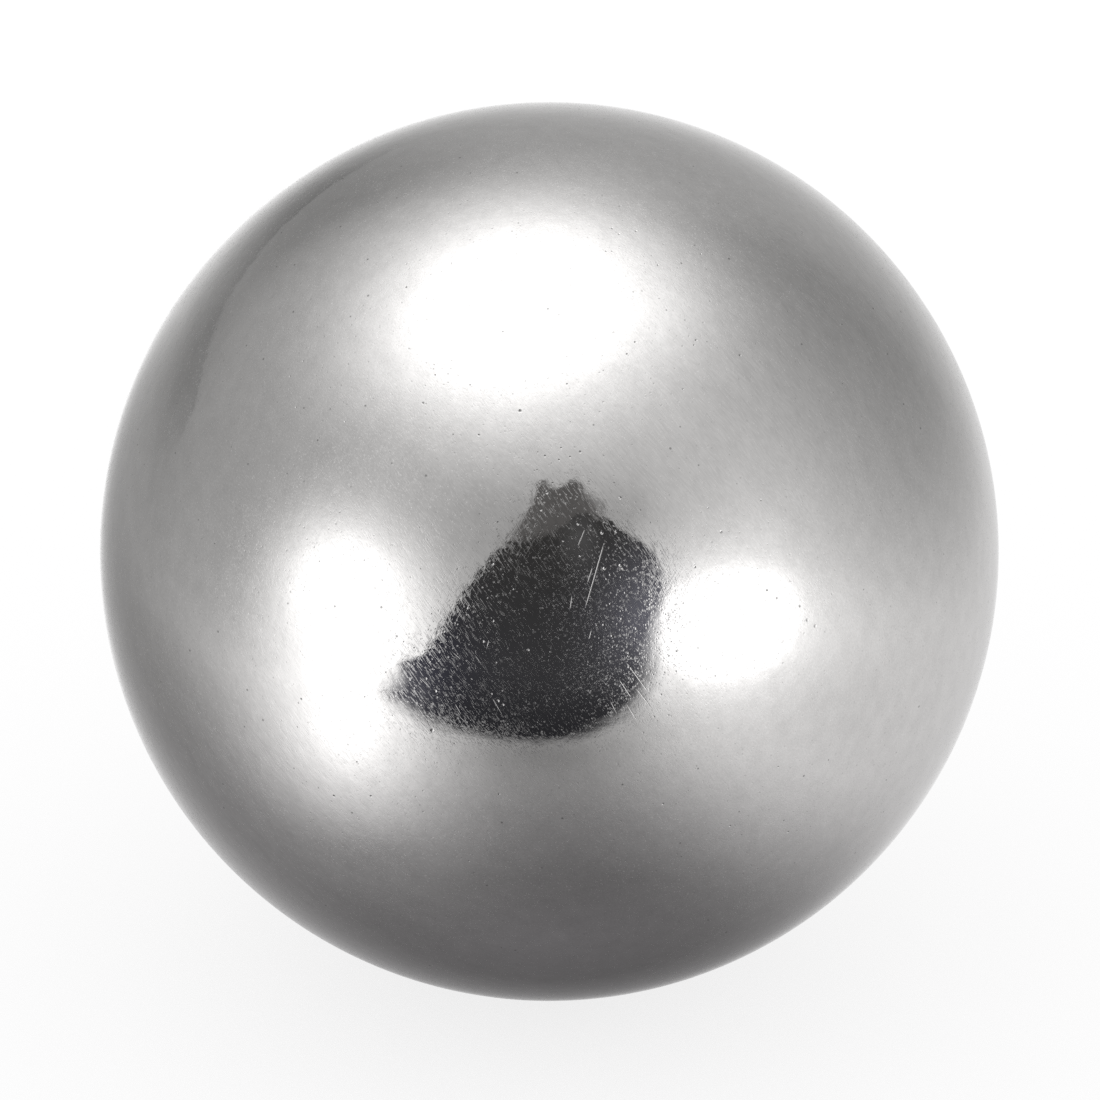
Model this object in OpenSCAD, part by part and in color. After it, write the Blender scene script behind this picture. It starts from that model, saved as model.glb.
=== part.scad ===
// Solid steel ball: one true sphere with its centre at the origin.
// It has no flat, hole or stem, so its round face is all that other parts meet.

/* [Ball] */
// Diameter of the ball
ball_diameter = 50; // [25:0.5:100]

/* [Hidden] */
polished_steel = [0.62, 0.62, 0.61];
$fn = 180;

// Forged, ground and polished as one piece
module ball() {
    color(polished_steel)
        sphere(d = ball_diameter);
}

ball();
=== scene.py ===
import math

import bpy
import numpy as np
from mathutils import Matrix, Vector


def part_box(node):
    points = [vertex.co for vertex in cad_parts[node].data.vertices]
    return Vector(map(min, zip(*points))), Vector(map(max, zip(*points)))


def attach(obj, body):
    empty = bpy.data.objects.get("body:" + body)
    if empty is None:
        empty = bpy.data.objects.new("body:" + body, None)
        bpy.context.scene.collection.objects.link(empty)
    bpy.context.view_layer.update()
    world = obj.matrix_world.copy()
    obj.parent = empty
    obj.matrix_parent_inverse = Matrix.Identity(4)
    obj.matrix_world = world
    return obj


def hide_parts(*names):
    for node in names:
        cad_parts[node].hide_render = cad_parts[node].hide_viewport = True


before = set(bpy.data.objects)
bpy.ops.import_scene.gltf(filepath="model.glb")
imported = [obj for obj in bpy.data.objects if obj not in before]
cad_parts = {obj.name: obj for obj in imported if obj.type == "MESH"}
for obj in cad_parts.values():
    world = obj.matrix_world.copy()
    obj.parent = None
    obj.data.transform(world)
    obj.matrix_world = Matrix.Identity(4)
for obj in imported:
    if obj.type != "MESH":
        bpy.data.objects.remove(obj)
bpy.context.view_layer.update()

MM = 0.001

# ---------------------------------------------------------------- sizes from the frame

low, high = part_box("ball")
BALL_RADIUS = (high.z - low.z) / 2

# ---------------------------------------------------------------- the ball's own mesh

CUBE_CUTS = 2                # cuts that start each side of the cube as a 3 by 3 grid
HALVINGS = 5                 # times every square is then halved, to 96 squares a side
SQUARE = math.pi / 2 * BALL_RADIUS / ((CUBE_CUTS + 1) * 2**HALVINGS)
SLIVER = 0.001               # mm, a face thinner than this is closed
MAP_COLUMNS, MAP_ROWS = 3, 2
MAP_MARGIN = 0.006           # gap left round each side of the cube on the bake map

# ---------------------------------------------------------------- the camera

FRAME_PX = 1100              # the frame is square, this many pixels a side
BALL_CENTRE_PX = (549.3, 551.5)
BALL_RADIUS_PX = 449.5
CAMERA_ELEVATION = 25.0      # degrees above the floor
CAMERA_DISTANCE = 0.40
CAMERA_CLIP = (0.01, 20)     # nearest and farthest that it sees, in metres
SENSOR_WIDTH = 36.0          # mm

tilt = math.radians(CAMERA_ELEVATION)
VIEW_RIGHT = Vector((1, 0, 0))
VIEW_UP = Vector((0, math.sin(tilt), math.cos(tilt)))

# ---------------------------------------------------------------- marks in the metal

# pits on the side that faces the camera: the pixel where each is seen, and its radius in mm
PITS_PX = [
    # in the right half of the mirrored mouth
    (602, 533, 0.09), (604.5, 568.5, 0.10), (620.5, 565.5, 0.10), (623, 569, 0.08), (610, 575, 0.06),
    (606.5, 579, 0.06), (580, 556, 0.07), (578, 524, 0.08), (616, 532, 0.06), (597, 625, 0.06),
    (612, 636, 0.07),
    # in its left half and its foot
    (492.5, 564, 0.08), (467, 608, 0.07), (483, 641.5, 0.08), (493, 621, 0.06), (513, 589, 0.06),
    (528, 650, 0.09), (550.5, 652, 0.07), (496, 662.5, 0.06), (498, 701, 0.09), (503, 705, 0.08),
    (502, 691, 0.06), (491.5, 694, 0.06), (435.5, 691, 0.08), (426, 678.5, 0.06),
    # above it
    (620, 498, 0.09), (541, 510, 0.07), (547, 493, 0.07), (563, 541, 0.06), (708, 508, 0.06),
    (761, 500, 0.07),
    # round the light on the right, and below
    (767, 590, 0.08), (800, 606, 0.09), (807, 620, 0.10), (815, 626, 0.10), (721, 532, 0.09),
    (695, 567, 0.07), (778, 767, 0.07), (663, 804, 0.08), (730, 826, 0.07), (788, 832, 0.08),
    (499, 794, 0.07), (469, 861, 0.06),
    # round the light at the top and on the left
    (612, 228, 0.07), (619, 234, 0.07), (636, 231, 0.08), (606, 251, 0.06), (612, 251, 0.06),
    (658, 265, 0.07), (701, 254, 0.07), (296, 407, 0.08), (345, 421, 0.07), (290, 376, 0.07),
    (303, 361, 0.06),
]
# pits darkened with painted shade, so that they show dark even beside the lights; a program placed the first
# four, (479, 435), (545, 456) and (432, 730), and had listed 13 of the others before they were read off
DARK_PITS_PX = [
    # round the light at the top
    (520, 411, 0.11), (423, 403, 0.08), (435, 375, 0.06), (406, 287, 0.075), (470, 385, 0.05),
    (567, 384, 0.06), (635, 342, 0.07), (627, 354, 0.07), (696, 340, 0.075), (694, 345, 0.06),
    (740, 355, 0.09), (683, 389, 0.06),
    # between it and the mirrored mouth
    (479, 435, 0.075), (545, 456, 0.07), (580, 452, 0.08), (570, 457, 0.06), (559, 460, 0.06),
    (561, 448, 0.06),
    # round the light on the left
    (432, 730, 0.115), (301, 699, 0.08), (298, 703, 0.055), (365, 697, 0.05), (334, 796, 0.09),
    (371, 796, 0.075), (357, 762, 0.055), (297, 727, 0.05),
]

# scratches on that side: the pixels where the two ends are seen, and the width in mm
SCRATCHES_PX = [
    # the long one in the mirrored mouth and those beside it
    ((605, 540), (584, 613), 0.065), ((593, 566), (587, 585), 0.055), ((585, 529), (578, 546), 0.055),
    ((572.5, 594), (570, 610), 0.055), ((592, 630), (588, 643), 0.070),
    # on the mouth's lower right edge
    ((630, 667), (646, 689), 0.060), ((621, 682), (631, 697), 0.055), ((640, 693), (650, 706), 0.060),
    ((610, 700), (617, 714), 0.045), ((629, 708), (637, 720), 0.055),
    # on its left and its foot
    ((488, 642), (486, 651), 0.055), ((473, 653), (486, 671), 0.050), ((453, 653), (460, 659), 0.055),
    ((420, 678), (428, 686), 0.050), ((492, 698), (499, 710), 0.050), ((456, 706), (460, 713), 0.050),
]

# the rest of the ball: how many there are, and their smallest and largest size in mm
STRAY_PITS = (110, 0.06, 0.13)
STRAY_DARK_PITS = (34, 0.05, 0.09)
STRAY_SCRATCHES = (14, 1.0, 5.0)
STRAY_SCRATCH_WIDTH = 0.045
STRAY_SEED = 11
SEEN_RIM = 0.1               # cosine of the angle from the camera's side at which the strays begin

PIT_DEPTH = 0.22             # of its radius
DARK_PIT_WEAR_AND_SHADE = 2.0              # how much duller a dark pit is, and how much darker with painted shade
PIT_HALVINGS = 4             # times the squares round a pit are halved
PIT_REACH = 0.75             # squares whose middle lies this near a pit's rim are halved too
SCRATCH_DEPTH = 0.10         # of its width
SCRATCH_FADE = 0.15          # share of a scratch's length over which each end dies out
SCRATCH_CUTS = (-0.5, -0.25, 0, 0.25, 0.5)  # of its width, from its middle to each side
CUT_ASIDE = 0.75             # squares this far to a scratch's side are cut
CUT_PAST_END = 0.6           # and this far past its ends
CUT_SNAP = 0.0001            # mm, a point this near a cut moves onto it
SLOPE_STEP = 0.0001          # mm, the step over which the marks' slopes are measured
MARK_ROUGHNESS = 0.25        # in the pits and scratches
MARK_PAINTED_SHADE = 0.35             # how much painted shade darkens them

# ---------------------------------------------------------------- the light tent

TENT_RADIUS = 1.0
TENT_SEGMENTS, TENT_RINGS = 96, 48
BRIGHTEST = 2.0              # no part of the tent is brighter: this already shows white in the steel

# tone of the tent's wall and ground, by degrees above the floor; the greys come from a numerical fit and are
# only rounded, and the slight tints were set one by one
# the darker ground below -45 degrees is a painted shadow: the ball's own shadow on the floor round its foot,
# which the steel mirrors
WALL_TONES = [
    (-90, (0.194, 0.188, 0.196)), (-65, (0.138, 0.134, 0.138)), (-45, (0.173, 0.169, 0.173)),
    (-25, (0.232, 0.230, 0.230)), (-5, (0.330, 0.330, 0.329)), (20, (0.290, 0.290, 0.289)),
    (45, (0.200, 0.200, 0.199)), (65, (0.120, 0.120, 0.119)), (90, (0.120, 0.120, 0.119)),
]

# azimuth 0 is the camera's side and 90 the right; spread is the half width and height in degrees,
# and a strength below 0 is a soft shade. The numbers come from a numerical fit and are only rounded, except
# right_core, front_shade, top_right, slit_shade, foot_shade and low_left_shade, which were set one by one
SOFT_LIGHTS = {
    # name          azimuth, elevation, (wide, high), turn, falloff, strength
    "top": (-77, 83, (27.5, 29.5), 48, 1.5, 3.2),
    "top_left": (-118, 57, (32, 74), 20, 6.0, 0.14),
    "left": (-51, 5.5, (16, 14.5), -2, 1.45, 2.8),
    "left_low": (-51, -25.5, (23, 17), 42, 1.2, 1.8),
    "left_wall": (-71, -17.5, (67, 11), 5, 1.2, 0.29),
    "right": (40, 1.5, (24.5, 14.5), -16, 2.0, 1.0),
    "right_core": (45, 1, (15, 10), -8, 3.5, 3.0),
    "right_flare": (98, -17.5, (82, 17.5), -13, 1.5, 0.46),
    "right_low": (86, -40.5, (82, 18.5), -8, 1.75, 0.51),
    "front_shade": (-4, -26.5, (26, 5.5), 0, 2.0, -0.09),
    "front_upper": (52.5, 13.5, (37.5, 47), -31, 1.4, 0.69),
    "back": (167, 20, (27, 35.5), -23, 4.6, 0.17),
    "backdrop": (-168, -26, (22.5, 12), -46, 1.2, 0.64),
    "top_right": (97, 65, (10, 7), 0, 2.0, 0.13),
    "slit_shade": (23, 33, (6, 5), 0, 2.0, -0.12),
    "foot_shade": (22, -18, (7, 5), 0, 2.0, -0.10),
    "low_left_shade": (-65, -55.5, (15, 6.5), 0, 2.0, -0.09),
    "backdrop_foot": (-179, -23, (37.5, 7), 39, 1.7, 0.37),
}

# outline of the tent's open mouth: azimuth, elevation, and how softly its edge fades, in degrees; a separate
# script turned pixels into these directions, for the slit too, and they were then moved by hand
MOUTH = [
    (-36.4, -9.4, 7.0), (-35.8, -6.2, 4.0), (-33.2, -4.3, 1.5), (-29.9, -2.4, 0.8), (-26.4, 4.4, 0.6),
    (-21.8, 12.6, 0.6), (-17.9, 18.9, 0.6), (-13.8, 24.8, 0.8), (-9, 27.2, 1.5), (0, 29.5, 2.0),
    (5, 31.5, 2.0), (7, 34, 1.5), (12, 33.3, 1.0), (17.4, 31.6, 0.8), (22.7, 27.3, 0.8),
    (28.3, 21.4, 1.5), (29.2, 13.5, 3.0), (26.9, 7, 5.0), (25.2, 0, 8.0), (24.2, -8, 8.0),
    (19.6, -15.0, 7.0), (11.4, -20.3, 5.5), (3, -22.6, 3.5), (-10, -22.7, 3.0), (-21, -21.4, 4.0),
    (-29, -20, 6.0), (-34, -17.7, 7.0), (-37.5, -15.9, 9.0), (-38.9, -13.4, 9.0),
]
# the narrower, paler slit above it
SLIT = [
    (-11.5, 26, 1.5), (-9, 30, 2.0), (-6.5, 34.5, 1.5), (-4.5, 38, 1.5), (-4, 41, 1.2), (-1.5, 42, 1.0),
    (1, 40.8, 1.0), (4, 40.8, 1.0), (6.5, 42.3, 1.0), (9.5, 42, 1.5), (12, 38.5, 3.5), (15.5, 34, 6.0),
    (8, 27, 2.0), (-4, 24, 1.5),
]
MOUTH_RADIUS = 0.96
SLIT_RADIUS = 0.98
SHARPEST_RIM = 0.3           # degrees, no opening's edge is sharper
CURVE_STEPS = 6              # straight steps from one point of an outline to the next

# what is seen through them: tones and soft lights, given as the tent's are
MOUTH_TONES = [(-22, (0.026, 0.026, 0.030)), (-5, (0.053, 0.053, 0.057)), (30, (0.045, 0.044, 0.043))]
MOUTH_GLOWS = {
    "right_rim": (27.5, 7, (12, 14), 0, 2.0, (0.150, 0.152, 0.190)),
    "upper_haze": (8.5, 28, (4, 6), 0, 2.0, (0.060, 0.060, 0.062)),
    "left_rim": (-34, -3, (14, 15), 0, 2.0, (-0.005, -0.004, 0.012)),
    "tip": (-35, -12, (7, 7), 0, 2.0, (0.090, 0.090, 0.100)),
}
SLIT_TONES = [(20, (0.140, 0.136, 0.134)), (45, (0.140, 0.136, 0.134))]

# a fold of the cloth behind the ball: azimuth and elevation along it, the same where the shade
# below it has died out, and how much light the shade takes away at the fold; a separate script
# turned pixels into these directions, and only the last number of each row was set by hand
FOLD = [
    (-171, 9.5, -174, -1, 0.0), (-167, 10.5, -171, -2, 0.15), (-163.5, 11.5, -169, -2.5, 0.35),
    (-160, 11.8, -167.5, -3.5, 0.55), (-155.5, 12.2, -166, -5, 0.60), (-149.8, 12.2, -164, -6, 0.46),
    (-144, 11.8, -161.5, -7, 0.40), (-137.5, 11.4, -155.5, -5, 0.36), (-129, 10.9, -144.5, -1, 0.34),
    (-122.5, 9.5, -137, 0, 0.32), (-120, 7.4, -135, -2, 0.26), (-118.8, 5.5, -134, -3.5, 0.18),
    (-117.5, 2.7, -132.5, -6, 0.0),
]
# how the shade dies out below the fold: share of the way, share of the shade left
FOLD_FADE = [(0.12, 0.65), (1.0, 0.0)]
FOLD_TONES = [(0, (0, 0, 0)), (90, (1, 1, 1))]
FOLD_EDGE = 0.5              # degrees, how sharp the fold is
FOLD_RADIUS = 0.985

# ---------------------------------------------------------------- the floor

FLOOR_SIZE = 8.0
PAPER_GREY = 0.8
PAPER_SHARE = 0.3            # how much of the floor takes light and shadow; the rest glows white
FLOOR_GLOW = 1.1

# ---------------------------------------------------------------- the steel's finish

STEEL_COLOUR = (0.608, 0.600, 0.593)
MIRROR_ROUGHNESS = 0.03

# ripples of the polish: size and depth in mm
RIPPLES = [(0.14, 0.0006), (0.60, 0.0045)]

# streaks of wiping on the metal: heading seen from the front (0 right, 90 up), length and width
# in mm, how finely they break up, and how much darker or brighter they make it
STREAKS = [(-56, 2.2, 0.90, 3.0, 0.08), (62, 1.6, 0.70, 3.0, 0.06), (-48, 0.60, 0.075, 0.0, 0.09)]

# hairlines left by the polishing: heading, length, width and depth in mm, and how rough the metal
# is in them
HAIRLINES = [(-56, 0.90, 0.065, 0.0010, 0.25), (62, 0.60, 0.080, 0.0004, 0.22)]
HAIR_RISE = (0.54, 0.70)     # from where to where in the noise they rise
HAIR_PATCH = 5.0             # mm, the size of the patches in which they lie close
HAIR_PATCH_RISE = (0.40, 0.60)
HAIR_LEAST = 0.3             # how strong they still are between the patches

# where the polish is more worn: the pixel where the spot is seen, and out to where it is worn
# fully and at all, in mm. The first has more of the dull grain, and the second more of the bowls.
WORN_SPOTS = [((430, 680), 2.5, 6.5), ((615, 630), 2.5, 4.8)]
WORN_GRAIN = 0.05            # how far the first lifts the grain's noise
WORN_DEPTH = 0.7             # how much deeper the bowls are in the second

# the dull grain of the polish: heading, its grains' length and width in mm, how finely they break
# up, from where to where in the noise they rise, and how rough the metal is in them
GRAIN = (-56, 0.50, 0.065, 1.0, (0.545, 0.69), 0.25)

# round bowls in the polish: mean spacing, radius and depth in mm, the share of places that has
# one, elsewhere and in the worn spot, how rough the metal is inside, and how much painted shade
# darkens it. The pits' own depth is too small to matter.
BOWLS = {
    "grain": (0.120, 0.085, 0.0018, (0.20, 0.70), 0.30, 0.0),
    "dimples": (0.190, 0.080, 0.0050, (0.12, 0.50), 0.24, 0.15),
    "pits": (0.800, 0.090, 0.0, (0.5, 0.5), 0.25, 0.5),
}
SMALLEST_BOWL = 0.25         # of the largest
BOWL_FILL = 3.0              # how soon the metal is fully rough from a bowl's rim inwards
BOWL_ROUNDING = 0.5          # how softly it gets there


# ---------------------------------------------------------------- small helpers

def direction(azimuth, elevation):
    """Unit vector from the ball's centre: azimuth 0 is the camera's side, 90 the right."""
    a, e = math.radians(azimuth), math.radians(elevation)
    return Vector((math.cos(e) * math.sin(a), -math.cos(e) * math.cos(a), math.sin(e)))


def facing(azimuth, elevation, turn=0.0):
    """Rotation that points local +Z along direction() and turns it about that line."""
    return (
        Matrix.Rotation(math.radians(azimuth), 4, "Z")
        @ Matrix.Rotation(math.radians(90 - elevation), 4, "X")
        @ Matrix.Rotation(math.radians(turn), 4, "Z")
    )


def nothing_selected():
    if bpy.context.object is not None and bpy.context.object.mode != "OBJECT":
        bpy.ops.object.mode_set(mode="OBJECT")
    bpy.ops.object.select_all(action="DESELECT")


def link(tree, source, target):
    tree.links.new(source, target)


def math_node(tree, operation, *values, clamp=False):
    node = tree.nodes.new("ShaderNodeMath")
    node.operation = operation
    node.use_clamp = clamp
    for socket, value in zip(node.inputs, values):
        if isinstance(value, bpy.types.NodeSocket):
            link(tree, value, socket)
        else:
            socket.default_value = value
    return node.outputs[0]


def vector_node(tree, operation, *values, output="Vector", scale=None):
    node = tree.nodes.new("ShaderNodeVectorMath")
    node.operation = operation
    for socket, value in zip(node.inputs, values):
        if isinstance(value, bpy.types.NodeSocket):
            link(tree, value, socket)
        else:
            socket.default_value = value
    if scale is not None:
        if isinstance(scale, bpy.types.NodeSocket):
            link(tree, scale, node.inputs["Scale"])
        else:
            node.inputs["Scale"].default_value = scale
    return node.outputs[output]


def empty_material(name):
    material = bpy.data.materials.new(name)
    material.use_nodes = True
    material.node_tree.nodes.clear()
    return material, material.node_tree


# ---------------------------------------------------------------- the ball

def ball_mesh():
    """A cube whose sides are cut into squares and swelled to a true sphere, so it has no poles."""
    nothing_selected()
    bpy.ops.mesh.primitive_cube_add(size=2 * BALL_RADIUS, location=(0, 0, 0))
    ball = bpy.context.object
    ball.name = "steel_ball"
    ball.data.name = "steel_ball"
    lay_out_map(ball.data)
    pits, scratches = marks()
    subdivide_all(ball, CUBE_CUTS)
    for _ in range(HALVINGS - 1):
        subdivide_all(ball, 1)
    for scratch in scratches:
        cut_along(ball, scratch, 2 * SQUARE)
    only_threes_and_fours()
    subdivide_all(ball, 1)
    for halving in range(PIT_HALVINGS):
        subdivide_round(ball, pits, SQUARE / 2**halving)
    only_threes_and_fours()
    bpy.ops.object.shade_smooth()
    press_in(ball, pits, scratches)
    return ball


def subdivide_all(ball, cuts):
    bpy.ops.object.mode_set(mode="EDIT")
    bpy.ops.mesh.select_all(action="SELECT")
    bpy.ops.mesh.subdivide(number_cuts=cuts, smoothness=0)
    bpy.ops.object.mode_set(mode="OBJECT")
    swell(ball)


def only_threes_and_fours():
    """Splits what a cut has left with more than four sides, and closes slivers."""
    bpy.ops.object.mode_set(mode="EDIT")
    bpy.ops.mesh.select_all(action="SELECT")
    bpy.ops.mesh.dissolve_degenerate(threshold=SLIVER * MM)
    bpy.ops.mesh.select_all(action="DESELECT")
    bpy.ops.mesh.select_face_by_sides(number=4, type="GREATER")
    bpy.ops.mesh.quads_convert_to_tris()
    bpy.ops.object.mode_set(mode="OBJECT")


def swell(ball):
    """Puts every point of the ball on its true sphere."""
    swelling = ball.modifiers.new("swell", "CAST")
    swelling.cast_type = "SPHERE"
    swelling.factor = 1.0
    swelling.use_radius_as_size = False
    swelling.size = BALL_RADIUS
    swelling.radius = 0
    bpy.ops.object.modifier_apply(modifier=swelling.name)


def lay_out_map(mesh):
    """Gives each side of the cube a cell of its own on the bake map."""
    while mesh.uv_layers:
        mesh.uv_layers.remove(mesh.uv_layers[0])
    layer = mesh.uv_layers.new(name="OFBake")
    corner = [(0, 0), (1, 0), (1, 1), (0, 1)]
    for side in mesh.polygons:
        column, row = side.index % MAP_COLUMNS, side.index // MAP_COLUMNS
        for loop, (u, v) in zip(side.loop_indices, corner):
            layer.uv[loop].vector = (
                (column + MAP_MARGIN + u * (1 - 2 * MAP_MARGIN)) / MAP_COLUMNS,
                (row + MAP_MARGIN + v * (1 - 2 * MAP_MARGIN)) / MAP_ROWS,
            )


def seen_at(x, y):
    """The point of the ball that the camera sees at this pixel, as a unit vector."""
    back = direction(0, CAMERA_ELEVATION)
    eye = camera_place()
    pixel = math.tan(math.asin(BALL_RADIUS / CAMERA_DISTANCE)) / BALL_RADIUS_PX
    ray = VIEW_RIGHT * (x - FRAME_PX / 2) * pixel + VIEW_UP * (FRAME_PX / 2 - y) * pixel - back
    ray.normalize()
    nearest = -eye.dot(ray)
    inside = BALL_RADIUS**2 - (eye + ray * nearest).length_squared
    return (eye + ray * (nearest - math.sqrt(max(inside, 0)))).normalized()


def marks():
    """Pits as (direction, radius, how worn and how darkened by painted shade) and scratches as (start, end,
    width): those seen, then the strays.
    """
    pits = [(seen_at(x, y), radius * MM, 1.0) for x, y, radius in PITS_PX]
    # these pits are darker, with painted shade
    pits += [(seen_at(x, y), radius * MM, DARK_PIT_WEAR_AND_SHADE) for x, y, radius in DARK_PITS_PX]
    scratches = [(seen_at(*start), seen_at(*end), width * MM) for start, end, width in SCRATCHES_PX]
    chance = np.random.default_rng(STRAY_SEED)
    front = direction(0, CAMERA_ELEVATION)

    def somewhere():
        while True:
            place = Vector(chance.normal(size=3)).normalized()
            if place.dot(front) < SEEN_RIM:
                return place

    for (count, least, most), wear_and_shade in ((STRAY_PITS, 1.0), (STRAY_DARK_PITS, DARK_PIT_WEAR_AND_SHADE)):
        pits += [(somewhere(), chance.uniform(least, most) * MM, wear_and_shade) for _ in range(count)]
    count, least, most = STRAY_SCRATCHES
    for _ in range(count):
        start = somewhere()
        heading = Vector(chance.normal(size=3)).cross(start).normalized()
        reach = chance.uniform(least, most) * MM / BALL_RADIUS
        scratches.append((start, (start + heading * reach).normalized(), STRAY_SCRATCH_WIDTH * MM))
    return pits, scratches


def select_faces(mesh, chosen):
    mesh.vertices.foreach_set("select", np.zeros(len(mesh.vertices), bool))
    mesh.edges.foreach_set("select", np.zeros(len(mesh.edges), bool))
    mesh.polygons.foreach_set("select", chosen)


def face_centres(mesh):
    centres = np.empty(len(mesh.polygons) * 3)
    mesh.polygons.foreach_get("center", centres)
    return centres.reshape(-1, 3)


def subdivide_round(ball, pits, square):
    """Halves the squares that lie in or beside a pit."""
    centres = face_centres(ball.data)
    near = np.zeros(len(centres), bool)
    for spot, radius, _ in pits:
        away = np.linalg.norm(centres - np.array(spot) * BALL_RADIUS, axis=1)
        near |= away < radius + PIT_REACH * square
    select_faces(ball.data, near)
    bpy.ops.object.mode_set(mode="EDIT")
    bpy.ops.mesh.subdivide(number_cuts=1, smoothness=0, ngon=False)
    bpy.ops.object.mode_set(mode="OBJECT")
    swell(ball)


def along_scratch(points, scratch):
    """How far along a scratch each point is, from 0 to 1, and how far to its side; its length and side."""
    start, end, _ = scratch
    start, end = np.array(start) * BALL_RADIUS, np.array(end) * BALL_RADIUS
    length = np.linalg.norm(end - start)
    along = (end - start) / length
    side = np.cross(start + end, along)
    side /= np.linalg.norm(side)
    return (points - start) @ along / length, (points - start) @ side, length, side


def cut_along(ball, scratch, square):
    """Cuts close lines along a scratch, from one side to the other, into the faces that it crosses."""
    start, _, width = scratch
    for cut in SCRATCH_CUTS:
        centres = face_centres(ball.data)
        share, aside, length, side = along_scratch(centres, scratch)
        margin = CUT_PAST_END * square / length
        near = (share > -margin) & (share < 1 + margin) & (np.abs(aside) < CUT_ASIDE * square)
        near &= centres @ np.array(start) > 0
        select_faces(ball.data, near)
        bpy.ops.object.mode_set(mode="EDIT")
        place = start * BALL_RADIUS + Vector(side) * width * cut
        bpy.ops.mesh.bisect(plane_co=place, plane_no=side, threshold=CUT_SNAP * MM)
        bpy.ops.object.mode_set(mode="OBJECT")


def sunk(points, pits, scratches):
    """How deep each point of the ball is pressed in, in metres, and how worn and darkened by painted shade it
    is, 1 for plainly so.
    """
    depth, wear_and_shade = np.zeros(len(points)), np.zeros(len(points))
    for spot, radius, worn in pits:
        away = np.linalg.norm(points - np.array(spot) * BALL_RADIUS, axis=1) / radius
        bowl = np.clip(1 - away**2, 0, None) ** 2
        depth += bowl * radius * PIT_DEPTH
        wear_and_shade = np.maximum(wear_and_shade, bowl * worn)
    for scratch in scratches:
        start, _, width = scratch
        share, aside, _, _ = along_scratch(points, scratch)
        ends = np.clip(np.minimum(share, 1 - share) / SCRATCH_FADE, 0, 1)
        groove = np.clip(1 - (2 * aside / width) ** 2, 0, None) ** 2 * ends
        groove *= points @ np.array(start) > 0
        depth += groove * width * SCRATCH_DEPTH
        wear_and_shade = np.maximum(wear_and_shade, groove)
    return depth, wear_and_shade


def press_in(ball, pits, scratches):
    """Presses the pits and scratches into the ball, and gives it the normals of that surface."""
    mesh = ball.data
    places = np.empty(len(mesh.vertices) * 3)
    mesh.vertices.foreach_get("co", places)
    outward = places.reshape(-1, 3)
    outward /= np.linalg.norm(outward, axis=1, keepdims=True)
    depth, wear_and_shade = sunk(outward * BALL_RADIUS, pits, scratches)
    mesh.vertices.foreach_set("co", (outward * (BALL_RADIUS - depth)[:, None]).ravel())
    # the slope to each side, measured over a short step
    step = SLOPE_STEP * MM
    normals = outward.copy()
    for axis in np.eye(3):
        beside = outward * BALL_RADIUS + axis * step
        beside *= BALL_RADIUS / np.linalg.norm(beside, axis=1, keepdims=True)
        normals += axis * ((sunk(beside, pits, scratches)[0] - depth) / step)[:, None]
    normals /= np.linalg.norm(normals, axis=1, keepdims=True)
    mesh.normals_split_custom_set_from_vertices(normals.tolist())
    # how worn each point is, which also sets its painted shade
    mesh.attributes.new("wear_and_shade", "FLOAT", "POINT").data.foreach_set("value", wear_and_shade)
    mesh.update()


def bowls(tree, place, spacing, radius, share):
    """Round bowls strewn over the metal: how deep each place is in one, from 0 to 1."""
    cells = tree.nodes.new("ShaderNodeTexVoronoi")
    cells.inputs["Scale"].default_value = 1 / (spacing * MM)
    link(tree, place, cells.inputs["Vector"])
    chance = tree.nodes.new("ShaderNodeSeparateColor")
    link(tree, cells.outputs["Color"], chance.inputs[0])
    size = math_node(tree, "MULTIPLY_ADD", chance.outputs[0], 1 - SMALLEST_BOWL, SMALLEST_BOWL)
    reach = math_node(tree, "MULTIPLY", size, radius / spacing)
    out = math_node(tree, "DIVIDE", cells.outputs["Distance"], reach, clamp=True)
    bowl = math_node(tree, "SUBTRACT", 1.0, math_node(tree, "MULTIPLY", out, out))
    bowl = math_node(tree, "MULTIPLY", math_node(tree, "MULTIPLY", bowl, bowl), size)
    return math_node(tree, "MULTIPLY", bowl, math_node(tree, "LESS_THAN", chance.outputs[1], share))


def map_range(tree, value, start, end, low_value=0.0, high_value=1.0):
    """Leads a value smoothly from one pair of limits to another."""
    node = tree.nodes.new("ShaderNodeMapRange")
    node.interpolation_type = "SMOOTHSTEP"
    link(tree, value, node.inputs["Value"])
    limits = {"From Min": start, "From Max": end, "To Min": low_value, "To Max": high_value}
    for name, number in limits.items():
        node.inputs[name].default_value = number
    return node.outputs[0]


def noise(tree, place, size, detail=1.0):
    """Soft noise from 0 to 1, with features of about this size in mm."""
    node = tree.nodes.new("ShaderNodeTexNoise")
    node.inputs["Scale"].default_value = 1 / (size * MM)
    node.inputs["Detail"].default_value = detail
    link(tree, place, node.inputs["Vector"])
    return node.outputs["Fac"]


def drawn_out_noise(tree, place, heading, length, width, detail=1.0):
    """Noise drawn out along one heading, from 0 to 1."""
    a = math.radians(heading)
    along = VIEW_RIGHT * math.cos(a) + VIEW_UP * math.sin(a)
    across = VIEW_UP * math.cos(a) - VIEW_RIGHT * math.sin(a)
    turn = Matrix((along, across, along.cross(across))).transposed()
    lay = tree.nodes.new("ShaderNodeMapping")
    lay.vector_type = "TEXTURE"
    lay.inputs["Rotation"].default_value = turn.to_euler("XYZ")
    lay.inputs["Scale"].default_value = (length, width, width)
    link(tree, place, lay.inputs["Vector"])
    return noise(tree, lay.outputs["Vector"], 1.0, detail)


def worn_spot(tree, place, spot, full, gone):
    """How worn each place is by its distance from a spot, from 0 to 1."""
    away = vector_node(tree, "DISTANCE", place, seen_at(*spot) * BALL_RADIUS, output="Value")
    return map_range(tree, away, full * MM, gone * MM, 1.0, 0.0)


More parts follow.
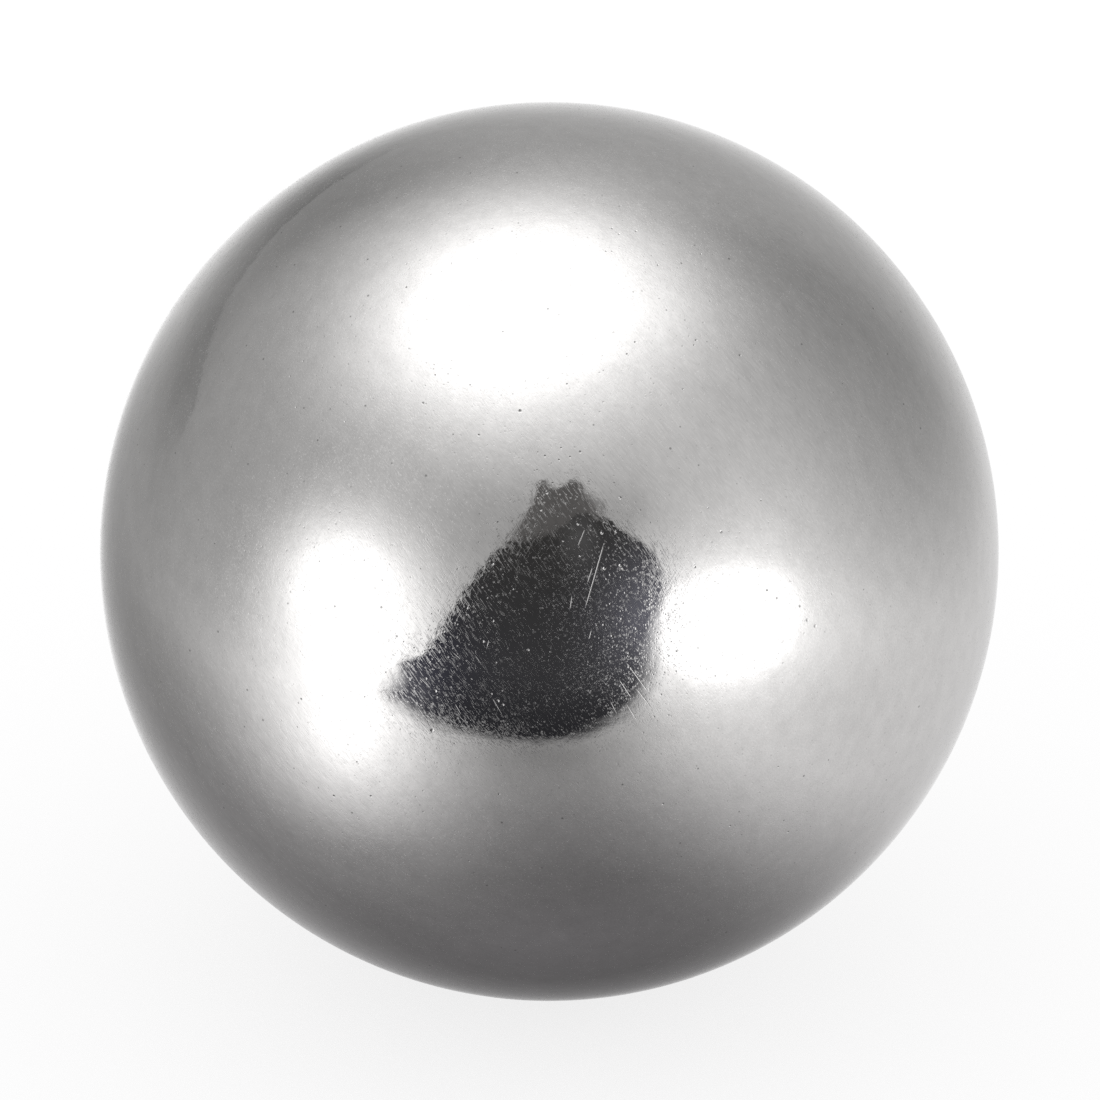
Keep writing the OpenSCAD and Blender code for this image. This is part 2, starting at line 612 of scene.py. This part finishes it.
def polished_steel():
    """Clean mirror steel: ripples, streaks, hairlines, dull grain and bowls, and painted shade in the marks
    and the bowls.
    """
    material, tree = empty_material("polished_steel")
    output = tree.nodes.new("ShaderNodeOutputMaterial")
    steel = tree.nodes.new("ShaderNodeBsdfPrincipled")
    steel.inputs["Metallic"].default_value = 1.0
    place = tree.nodes.new("ShaderNodeTexCoord").outputs["Object"]
    worn_grain, worn_bowls = [worn_spot(tree, place, *spot) for spot in WORN_SPOTS]
    tint, height, roughness = 1.0, 0.0, MIRROR_ROUGHNESS
    for heading, length, width, detail, change in STREAKS:
        film = drawn_out_noise(tree, place, heading, length, width, detail)
        tint = math_node(tree, "MULTIPLY_ADD", math_node(tree, "SUBTRACT", film, 0.5), 2 * change, tint)
    for size, depth in RIPPLES:
        height = math_node(tree, "MULTIPLY_ADD", noise(tree, place, size), -depth * MM, height)
    close = map_range(tree, noise(tree, place, HAIR_PATCH), *HAIR_PATCH_RISE, HAIR_LEAST, 1.0)
    for heading, length, width, depth, rough in HAIRLINES:
        line = map_range(tree, drawn_out_noise(tree, place, heading, length, width), *HAIR_RISE)
        line = math_node(tree, "MULTIPLY", line, close)
        height = math_node(tree, "MULTIPLY_ADD", line, -depth * MM, height)
        roughness = math_node(tree, "MAXIMUM", math_node(tree, "MULTIPLY", line, rough), roughness)
    heading, length, width, detail, rise, rough = GRAIN
    grain = drawn_out_noise(tree, place, heading, length, width, detail)
    grain = math_node(tree, "MULTIPLY_ADD", worn_grain, WORN_GRAIN, grain)
    grain = map_range(tree, grain, *rise, 0.0, rough)
    roughness = math_node(tree, "MAXIMUM", grain, roughness)
    for spacing, radius, depth, shares, rough, painted_shade in BOWLS.values():
        share = math_node(tree, "MULTIPLY_ADD", worn_bowls, shares[1] - shares[0], shares[0])
        bowl = bowls(tree, place, spacing, radius, share)
        if depth > 0:
            deep = math_node(tree, "MULTIPLY_ADD", worn_bowls, -WORN_DEPTH * depth * MM, -depth * MM)
            height = math_node(tree, "MULTIPLY_ADD", bowl, deep, height)
        inside = math_node(tree, "MULTIPLY", bowl, BOWL_FILL)
        inside = math_node(tree, "SMOOTH_MIN", inside, 1.0, BOWL_ROUNDING)
        roughness = math_node(tree, "MAXIMUM", math_node(tree, "MULTIPLY", inside, rough), roughness)
        # the bowls' darkening is a painted shade of their hollows
        if painted_shade > 0:
            tint = math_node(tree, "MULTIPLY", tint, math_node(tree, "MULTIPLY_ADD", inside, -painted_shade, 1.0))
    worn = tree.nodes.new("ShaderNodeAttribute")
    worn.attribute_name = "wear_and_shade"
    worn_rough = math_node(tree, "MULTIPLY", worn.outputs["Fac"], MARK_ROUGHNESS)
    roughness = math_node(tree, "MAXIMUM", worn_rough, roughness)
    # the pits and scratches are darkened here as a painted shade of their hollows
    unshaded = math_node(tree, "MULTIPLY_ADD", worn.outputs["Fac"], -MARK_PAINTED_SHADE, 1.0)
    tint = math_node(tree, "MULTIPLY", tint, unshaded)
    colour = vector_node(tree, "SCALE", STEEL_COLOUR, scale=tint)
    link(tree, colour, steel.inputs["Base Color"])
    bump = tree.nodes.new("ShaderNodeBump")
    bump.inputs["Strength"].default_value = 1.0
    bump.inputs["Distance"].default_value = 1.0
    link(tree, height, bump.inputs["Height"])
    link(tree, bump.outputs["Normal"], steel.inputs["Normal"])
    link(tree, roughness, steel.inputs["Roughness"])
    link(tree, steel.outputs["BSDF"], output.inputs["Surface"])
    return material


# ---------------------------------------------------------------- the light tent

def soft_light_group():
    """One soft light on the tent: brightest along its own +Z, fading by angle to nothing."""
    group = bpy.data.node_groups.new("soft_light", "ShaderNodeTree")
    face = group.interface
    for name, kind in (
        ("Direction", "NodeSocketVector"), ("Rotation", "NodeSocketVector"), ("Spread", "NodeSocketVector"),
        ("Falloff", "NodeSocketFloat"),
    ):
        face.new_socket(name, in_out="INPUT", socket_type=kind)
    face.new_socket("Light", in_out="OUTPUT", socket_type="NodeSocketFloat")
    given = group.nodes.new("NodeGroupInput")
    result = group.nodes.new("NodeGroupOutput")
    local = group.nodes.new("ShaderNodeMapping")
    local.vector_type = "TEXTURE"
    link(group, given.outputs["Direction"], local.inputs["Vector"])
    link(group, given.outputs["Rotation"], local.inputs["Rotation"])
    link(group, given.outputs["Spread"], local.inputs["Scale"])
    split = group.nodes.new("ShaderNodeSeparateXYZ")
    link(group, local.outputs["Vector"], split.inputs[0])
    across = group.nodes.new("ShaderNodeCombineXYZ")
    link(group, split.outputs["X"], across.inputs["X"])
    link(group, split.outputs["Y"], across.inputs["Y"])
    # a flat map of the whole sky, which has no second light on the far side and no division by zero
    widen = math_node(group, "DIVIDE", 2.0, math_node(group, "ADD", split.outputs["Z"], 1.0001))
    aside = vector_node(group, "SCALE", across.outputs[0], scale=widen)
    angle = vector_node(group, "LENGTH", aside, output="Value")
    fade = math_node(group, "POWER", angle, given.outputs["Falloff"])
    light = math_node(group, "EXPONENT", math_node(group, "MULTIPLY", fade, -1.0))
    link(group, light, result.inputs["Light"])
    return group


def glow_shader(tree, tones, lights):
    """Emission by direction from the ball: tones by degrees above the floor, and soft lights on them."""
    glow = tree.nodes.new("ShaderNodeEmission")
    place = tree.nodes.new("ShaderNodeTexCoord")
    towards = vector_node(tree, "NORMALIZE", place.outputs["Object"])
    split = tree.nodes.new("ShaderNodeSeparateXYZ")
    link(tree, towards, split.inputs[0])
    height = math_node(tree, "ARCSINE", split.outputs["Z"])
    share = math_node(tree, "ADD", math_node(tree, "DIVIDE", height, math.pi), 0.5)
    wall = tree.nodes.new("ShaderNodeValToRGB")
    link(tree, share, wall.inputs["Fac"])
    ramp = wall.color_ramp
    while len(ramp.elements) < len(tones):
        ramp.elements.new(0.5)
    for element, (elevation, colour) in zip(ramp.elements, tones):
        element.position = elevation / 180 + 0.5
        element.color = (*colour, 1)
    total = wall.outputs["Color"]
    group = bpy.data.node_groups.get("soft_light") or soft_light_group()
    for azimuth, elevation, spread, turn, falloff, strength in lights.values():
        light = tree.nodes.new("ShaderNodeGroup")
        light.node_tree = group
        link(tree, towards, light.inputs["Direction"])
        light.inputs["Rotation"].default_value = facing(azimuth, elevation, turn).to_euler("XYZ")
        light.inputs["Spread"].default_value = (math.radians(spread[0]), math.radians(spread[1]), 1)
        light.inputs["Falloff"].default_value = falloff
        tint = strength if isinstance(strength, tuple) else (strength,) * 3
        total = vector_node(tree, "MULTIPLY_ADD", light.outputs["Light"], tint, total)
    total = vector_node(tree, "MINIMUM", total, (BRIGHTEST,) * 3)
    link(tree, total, glow.inputs["Color"])
    return glow


def tent():
    """A dome of pale cloth round the ball. The ball mirrors it and the camera looks through it."""
    nothing_selected()
    bpy.ops.mesh.primitive_uv_sphere_add(
        segments=TENT_SEGMENTS, ring_count=TENT_RINGS, radius=TENT_RADIUS, location=(0, 0, 0)
    )
    dome = bpy.context.object
    dome.name = "tent"
    bpy.ops.object.shade_smooth()
    material, tree = empty_material("tent_cloth")
    output = tree.nodes.new("ShaderNodeOutputMaterial")
    link(tree, glow_shader(tree, WALL_TONES, SOFT_LIGHTS).outputs[0], output.inputs["Surface"])
    dome.data.materials.append(material)
    seen_only_in_mirrors(dome)
    return dome


def seen_only_in_mirrors(thing):
    """Keeps a piece of the staging out of the camera's sight, and out of all but reflections."""
    thing.visible_camera = False
    thing.visible_diffuse = False
    thing.visible_shadow = False
    for material in thing.data.materials:
        material.cycles.emission_sampling = "NONE"


def smooth_curve(points, closed=True):
    """A curve that passes smoothly through the points (Catmull-Rom)."""
    p = np.array(points, float)
    before, after, beyond = np.roll(p, 1, 0), np.roll(p, -1, 0), np.roll(p, -2, 0)
    if not closed:
        before[0], beyond[-2] = p[0], p[-1]
    out = []
    for i in range(len(p) if closed else len(p) - 1):
        for t in np.arange(CURVE_STEPS) / CURVE_STEPS:
            out.append(
                0.5 * (
                    2 * p[i] + (after[i] - before[i]) * t
                    + (2 * before[i] - 5 * p[i] + 4 * after[i] - beyond[i]) * t**2
                    + (3 * p[i] - before[i] - 3 * after[i] + beyond[i]) * t**3
                )
            )
    return np.array(out if closed else out + [p[-1]])


def on_dome(name, places, radius, faces, shade, cover, soft):
    """A sheet on the tent: clear where a point's shade is 0, and its cover's own light where it is 1."""
    mesh = bpy.data.meshes.new(name)
    mesh.from_pydata([direction(a, e) * radius for a, e in places], [], faces)
    mesh.attributes.new("shade", "FLOAT", "POINT").data.foreach_set("value", shade)
    shape = bpy.data.objects.new(name, mesh)
    bpy.context.scene.collection.objects.link(shape)
    material, tree = empty_material(name + "_shade")
    output = tree.nodes.new("ShaderNodeOutputMaterial")
    clear = tree.nodes.new("ShaderNodeBsdfTransparent")
    mix = tree.nodes.new("ShaderNodeMixShader")
    edge = tree.nodes.new("ShaderNodeAttribute")
    edge.attribute_name = "shade"
    fade = tree.nodes.new("ShaderNodeMapRange")
    fade.interpolation_type = "SMOOTHSTEP" if soft else "LINEAR"
    link(tree, edge.outputs["Fac"], fade.inputs["Value"])
    link(tree, fade.outputs[0], mix.inputs[0])
    link(tree, clear.outputs[0], mix.inputs[1])
    link(tree, glow_shader(tree, *cover).outputs[0], mix.inputs[2])
    link(tree, mix.outputs[0], output.inputs["Surface"])
    mesh.materials.append(material)
    seen_only_in_mirrors(shape)
    return shape


def opening(name, outline, radius, tones, glows):
    """A dark opening in the tent, whose rim fades as softly as its outline says."""
    loop = smooth_curve(outline)
    flat, feather = loop[:, :2], np.maximum(loop[:, 2], SHARPEST_RIM)
    along = np.roll(flat, -1, 0) - np.roll(flat, 1, 0)
    outward = np.stack([-along[:, 1], along[:, 0]], 1)
    outward /= np.linalg.norm(outward, axis=1, keepdims=True)
    inner, outer = flat - outward * feather[:, None] / 2, flat + outward * feather[:, None] / 2
    count = len(flat)
    faces = [list(range(count))]
    faces += [[i, i + count, (i + 1) % count + count, (i + 1) % count] for i in range(count)]
    shade = [1.0] * count + [0.0] * count
    places = np.concatenate([inner, outer])
    return on_dome(name, places, radius, faces, shade, (tones, glows), soft=True)


def fold():
    """The shade under a fold of the tent's cloth: sharp along the fold and dying out below it."""
    line = smooth_curve(FOLD, closed=False)
    count = len(line)
    top, foot, shade = line[:, :2], line[:, 2:4], np.clip(line[:, 4], 0, 1)
    rows = [top + (0, FOLD_EDGE), top] + [top + (foot - top) * way for way, _ in FOLD_FADE]
    shades = [shade * 0, shade] + [shade * left for _, left in FOLD_FADE]
    faces = [
        [row * count + i, row * count + i + 1, (row + 1) * count + i + 1, (row + 1) * count + i]
        for row in range(len(rows) - 1) for i in range(count - 1)
    ]
    places, shade = np.concatenate(rows), np.concatenate(shades)
    return on_dome("fold", places, FOLD_RADIUS, faces, shade, (FOLD_TONES, {}), soft=False)


def floor():
    """Pale paper under the ball: it glows almost white, and takes enough light to keep a shadow."""
    nothing_selected()
    bpy.ops.mesh.primitive_plane_add(size=FLOOR_SIZE, location=(0, 0, low.z))
    plane = bpy.context.object
    plane.name = "floor"
    material, tree = empty_material("floor_paper")
    output = tree.nodes.new("ShaderNodeOutputMaterial")
    paper = tree.nodes.new("ShaderNodeBsdfDiffuse")
    paper.inputs["Color"].default_value = (PAPER_GREY, PAPER_GREY, PAPER_GREY, 1)
    white = tree.nodes.new("ShaderNodeEmission")
    white.inputs["Strength"].default_value = FLOOR_GLOW
    mix = tree.nodes.new("ShaderNodeMixShader")
    mix.inputs[0].default_value = PAPER_SHARE
    link(tree, white.outputs[0], mix.inputs[1])
    link(tree, paper.outputs[0], mix.inputs[2])
    link(tree, mix.outputs[0], output.inputs["Surface"])
    plane.data.materials.append(material)
    plane.visible_glossy = False
    return plane


def white_world():
    world = bpy.data.worlds.new("white")
    bpy.context.scene.world = world
    world.use_nodes = True
    world.node_tree.nodes["Background"].inputs["Color"].default_value = (1, 1, 1, 1)
    world.node_tree.nodes["Background"].inputs["Strength"].default_value = 1.0


# ---------------------------------------------------------------- the camera

def camera_place():
    """Square on to the ball and a little aside, so that the ball's centre falls on its own pixel."""
    pixel = BALL_RADIUS / BALL_RADIUS_PX
    aside = VIEW_RIGHT * (FRAME_PX / 2 - BALL_CENTRE_PX[0]) * pixel
    aside += VIEW_UP * (BALL_CENTRE_PX[1] - FRAME_PX / 2) * pixel
    return direction(0, CAMERA_ELEVATION) * CAMERA_DISTANCE + aside


def camera():
    data = bpy.data.cameras.new("camera")
    cam = bpy.data.objects.new("camera", data)
    bpy.context.scene.collection.objects.link(cam)
    bpy.context.scene.camera = cam
    back = direction(0, CAMERA_ELEVATION)
    seen_half_angle = math.asin(BALL_RADIUS / CAMERA_DISTANCE)
    data.sensor_width = SENSOR_WIDTH
    data.lens = BALL_RADIUS_PX / FRAME_PX * SENSOR_WIDTH / math.tan(seen_half_angle)
    cam.location = camera_place()
    cam.rotation_mode = "QUATERNION"
    cam.rotation_quaternion = (-back).to_track_quat("-Z", "Y")
    data.clip_start, data.clip_end = CAMERA_CLIP
    return cam


# ---------------------------------------------------------------- the scene

ball = ball_mesh()
ball.data.materials.append(polished_steel())
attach(ball, "root")
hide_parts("ball")

mouth = opening("mouth", MOUTH, MOUTH_RADIUS, MOUTH_TONES, MOUTH_GLOWS)
slit = opening("slit", SLIT, SLIT_RADIUS, SLIT_TONES, {})
tent()
fold()
floor()
white_world()
camera()
bpy.context.scene.view_settings.view_transform = "Standard"
bpy.context.scene.cycles.use_denoising = False
